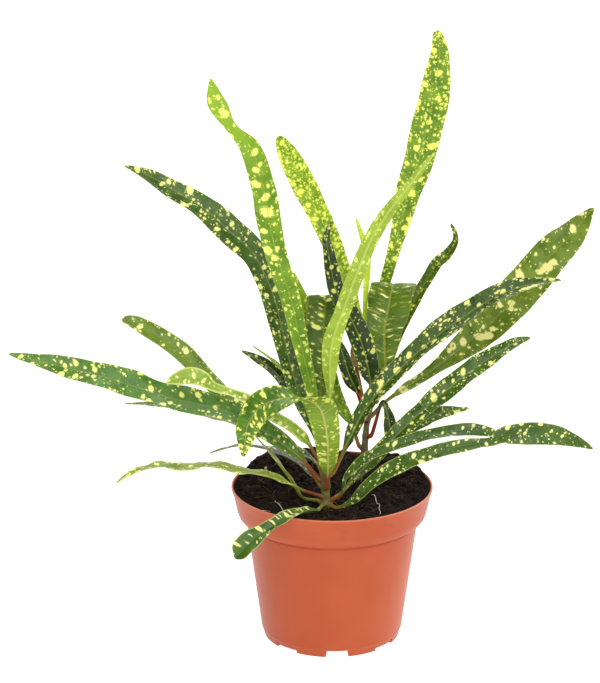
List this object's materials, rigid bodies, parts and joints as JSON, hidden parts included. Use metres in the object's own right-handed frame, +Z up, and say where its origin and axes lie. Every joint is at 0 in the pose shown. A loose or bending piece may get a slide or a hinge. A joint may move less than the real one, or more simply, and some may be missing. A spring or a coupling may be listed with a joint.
{
  "type": "potted croton",
  "caption": "Potted croton: narrow leathery leaves, speckled yellow on green, on short stems in a round tapered plastic nursery pot filled with dark peat soil.",
  "frame": {"origin": "on the pot's vertical axis, level with the ground that its foot ring stands on", "axes": "+Z is up, -Y is the side the picture was taken from, +X is to the right in the picture"},
  "size_m": [0.344, 0.1504, 0.3564],
  "materials": {
    "terracotta_plastic": "satin",
    "peat_soil": "matt crumbly peat",
    "olive_bark": "smooth young bark",
    "brown_bark": "smooth young bark",
    "gold_leaf": "waxy satin, dense yellow speckle",
    "bright_leaf": "waxy satin, yellow speckle",
    "deep_leaf": "waxy gloss, cream speckle",
    "pale_leaf": "satin underside, faint speckle"
  },
  "bodies": {
    "root": {"pot": "terracotta_plastic", "soil": "peat_soil", "front_stem": "olive_bark", "back_stem": "brown_bark", "leaf_upper_left": "deep_leaf", "leaf_tall_left": "bright_leaf", "leaf_gold_upright": "gold_leaf", "leaf_small_dark_upright": "deep_leaf", "leaf_new_tall": "gold_leaf", "leaf_new_short": "gold_leaf", "leaf_tallest": "gold_leaf", "leaf_pale_underside": "pale_leaf", "leaf_arching_broad": "bright_leaf", "leaf_twisted_small": "deep_leaf", "leaf_broad_right": "bright_leaf", "leaf_grooved_right": "deep_leaf", "leaf_notched_right": "deep_leaf", "leaf_short_right": "deep_leaf", "leaf_low_right_short": "bright_leaf", "leaf_low_right_long": "bright_leaf", "leaf_far_left": "bright_leaf", "leaf_left_olive": "bright_leaf", "leaf_left_curled": "pale_leaf", "leaf_front_folded": "pale_leaf", "leaf_low_left_level": "bright_leaf", "leaf_low_left_edge": "bright_leaf", "leaf_back_left_low": "deep_leaf", "leaf_back_left": "deep_leaf", "leaf_left_short_dark": "deep_leaf", "leaf_left_short_green": "bright_leaf", "leaf_arching_dark": "deep_leaf", "leaf_back_centre": "bright_leaf", "leaf_red_stalk_dark": "deep_leaf", "leaf_red_stalk_tan": "pale_leaf", "leaf_drooping": "deep_leaf", "leaf_over_rim": "bright_leaf"}
  },
  "joints": []
}
